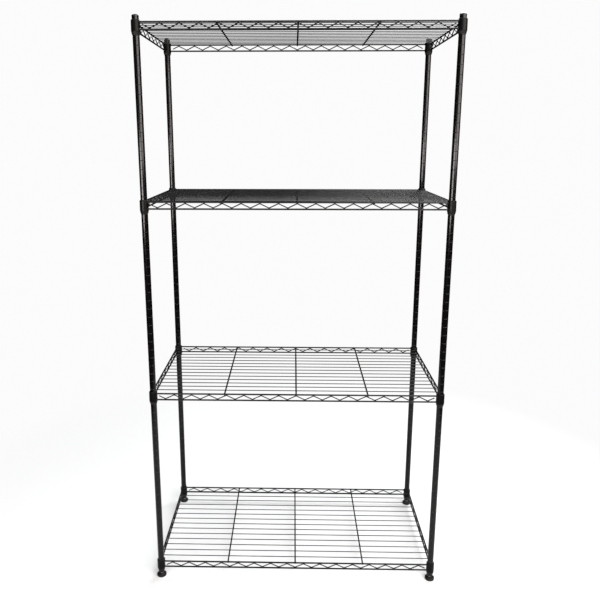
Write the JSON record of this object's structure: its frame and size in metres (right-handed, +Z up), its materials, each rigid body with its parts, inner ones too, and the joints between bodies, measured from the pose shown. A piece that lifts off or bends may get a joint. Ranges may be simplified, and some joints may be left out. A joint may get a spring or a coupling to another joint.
{
  "type": "wire shelving rack",
  "caption": "Free-standing wire shelving rack: grooved round posts, welded wire shelves held by tapered split sleeves, domed post caps and screw-in levelling feet.",
  "frame": {"origin": "centre of the rack's footprint, on the floor under the feet", "axes": "+X along the shelves to the right as seen from the front, +Y from front to back, +Z up"},
  "size_m": [0.905, 0.454, 1.7252],
  "materials": {
    "post_coat": "gloss black powder coat on steel tube",
    "shelf_coat": "semi-gloss black powder coat on welded steel wire",
    "cap_plastic": "black polypropylene, light satin",
    "sleeve_plastic": "black polypropylene, fine matt grain",
    "insert_plastic": "black nylon",
    "stud_steel": "zinc-plated steel thread",
    "foot_plastic": "black nylon, satin"
  },
  "bodies": {
    "posts": {"post_front_left": "post_coat", "post_front_right": "post_coat", "post_back_left": "post_coat", "post_back_right": "post_coat", "post_cap_front_left": "cap_plastic", "post_cap_front_right": "cap_plastic", "post_cap_back_left": "cap_plastic", "post_cap_back_right": "cap_plastic", "foot_insert_front_left": "insert_plastic", "foot_insert_front_right": "insert_plastic", "foot_insert_back_left": "insert_plastic", "foot_insert_back_right": "insert_plastic", "bottom_shelf_sleeve_front_left_front_half": "sleeve_plastic", "bottom_shelf_sleeve_front_left_rear_half": "sleeve_plastic", "bottom_shelf_sleeve_front_right_front_half": "sleeve_plastic", "bottom_shelf_sleeve_front_right_rear_half": "sleeve_plastic", "bottom_shelf_sleeve_back_left_front_half": "sleeve_plastic", "bottom_shelf_sleeve_back_left_rear_half": "sleeve_plastic", "bottom_shelf_sleeve_back_right_front_half": "sleeve_plastic", "bottom_shelf_sleeve_back_right_rear_half": "sleeve_plastic", "lower_shelf_sleeve_front_left_front_half": "sleeve_plastic", "lower_shelf_sleeve_front_left_rear_half": "sleeve_plastic", "lower_shelf_sleeve_front_right_front_half": "sleeve_plastic", "lower_shelf_sleeve_front_right_rear_half": "sleeve_plastic", "lower_shelf_sleeve_back_left_front_half": "sleeve_plastic", "lower_shelf_sleeve_back_left_rear_half": "sleeve_plastic", "lower_shelf_sleeve_back_right_front_half": "sleeve_plastic", "lower_shelf_sleeve_back_right_rear_half": "sleeve_plastic", "upper_shelf_sleeve_front_left_front_half": "sleeve_plastic", "upper_shelf_sleeve_front_left_rear_half": "sleeve_plastic", "upper_shelf_sleeve_front_right_front_half": "sleeve_plastic", "upper_shelf_sleeve_front_right_rear_half": "sleeve_plastic", "upper_shelf_sleeve_back_left_front_half": "sleeve_plastic", "upper_shelf_sleeve_back_left_rear_half": "sleeve_plastic", "upper_shelf_sleeve_back_right_front_half": "sleeve_plastic", "upper_shelf_sleeve_back_right_rear_half": "sleeve_plastic", "top_shelf_sleeve_front_left_front_half": "sleeve_plastic", "top_shelf_sleeve_front_left_rear_half": "sleeve_plastic", "top_shelf_sleeve_front_right_front_half": "sleeve_plastic", "top_shelf_sleeve_front_right_rear_half": "sleeve_plastic", "top_shelf_sleeve_back_left_front_half": "sleeve_plastic", "top_shelf_sleeve_back_left_rear_half": "sleeve_plastic", "top_shelf_sleeve_back_right_front_half": "sleeve_plastic", "top_shelf_sleeve_back_right_rear_half": "sleeve_plastic"},
    "bottom_shelf": {"bottom_shelf": "shelf_coat"},
    "lower_shelf": {"lower_shelf": "shelf_coat"},
    "upper_shelf": {"upper_shelf": "shelf_coat"},
    "top_shelf": {"top_shelf": "shelf_coat"},
    "foot_pad_front_left": {"foot_pad_front_left": "foot_plastic"},
    "foot_stud_front_left": {"foot_stud_front_left": "stud_steel"},
    "foot_pad_front_right": {"foot_pad_front_right": "foot_plastic"},
    "foot_stud_front_right": {"foot_stud_front_right": "stud_steel"},
    "foot_pad_back_left": {"foot_pad_back_left": "foot_plastic"},
    "foot_stud_back_left": {"foot_stud_back_left": "stud_steel"},
    "foot_pad_back_right": {"foot_pad_back_right": "foot_plastic"},
    "foot_stud_back_right": {"foot_stud_back_right": "stud_steel"}
  },
  "joints": [
    {"name": "bottom_shelf_lift", "type": "slide", "parent": "posts", "child": "bottom_shelf", "axis": [0, 0, 1], "range_m": [0, 0.544]},
    {"name": "lower_shelf_lift", "type": "slide", "parent": "posts", "child": "lower_shelf", "axis": [0, 0, 1], "range_m": [0, 0.544]},
    {"name": "upper_shelf_lift", "type": "slide", "parent": "posts", "child": "upper_shelf", "axis": [0, 0, 1], "range_m": [0, 0.4424]},
    {"name": "top_shelf_lift", "type": "slide", "parent": "posts", "child": "top_shelf", "axis": [0, 0, 1], "range_m": [0, 0.06]},
    {"name": "foot_front_left_height", "type": "slide", "parent": "posts", "child": "foot_pad_front_left", "axis": [0, 0, -1], "range_m": [0, 0.012]},
    {"name": "foot_front_left_turn", "type": "hinge", "parent": "foot_pad_front_left", "child": "foot_stud_front_left", "pos_m": [-0.4375, -0.212, 0], "axis": [0, 0, -1], "range_deg": [0, 3456]},
    {"name": "foot_front_right_height", "type": "slide", "parent": "posts", "child": "foot_pad_front_right", "axis": [0, 0, -1], "range_m": [0, 0.012]},
    {"name": "foot_front_right_turn", "type": "hinge", "parent": "foot_pad_front_right", "child": "foot_stud_front_right", "pos_m": [0.4375, -0.212, 0], "axis": [0, 0, -1], "range_deg": [0, 3456]},
    {"name": "foot_back_left_height", "type": "slide", "parent": "posts", "child": "foot_pad_back_left", "axis": [0, 0, -1], "range_m": [0, 0.012]},
    {"name": "foot_back_left_turn", "type": "hinge", "parent": "foot_pad_back_left", "child": "foot_stud_back_left", "pos_m": [-0.4375, 0.212, 0], "axis": [0, 0, -1], "range_deg": [0, 3456]},
    {"name": "foot_back_right_height", "type": "slide", "parent": "posts", "child": "foot_pad_back_right", "axis": [0, 0, -1], "range_m": [0, 0.012]},
    {"name": "foot_back_right_turn", "type": "hinge", "parent": "foot_pad_back_right", "child": "foot_stud_back_right", "pos_m": [0.4375, 0.212, 0], "axis": [0, 0, -1], "range_deg": [0, 3456]}
  ],
  "couplings": [
    {"joint": "foot_front_left_height", "follows": "foot_front_left_turn", "m_per_rad": 0.00019894},
    {"joint": "foot_front_right_height", "follows": "foot_front_right_turn", "m_per_rad": 0.00019894},
    {"joint": "foot_back_left_height", "follows": "foot_back_left_turn", "m_per_rad": 0.00019894},
    {"joint": "foot_back_right_height", "follows": "foot_back_right_turn", "m_per_rad": 0.00019894}
  ]
}
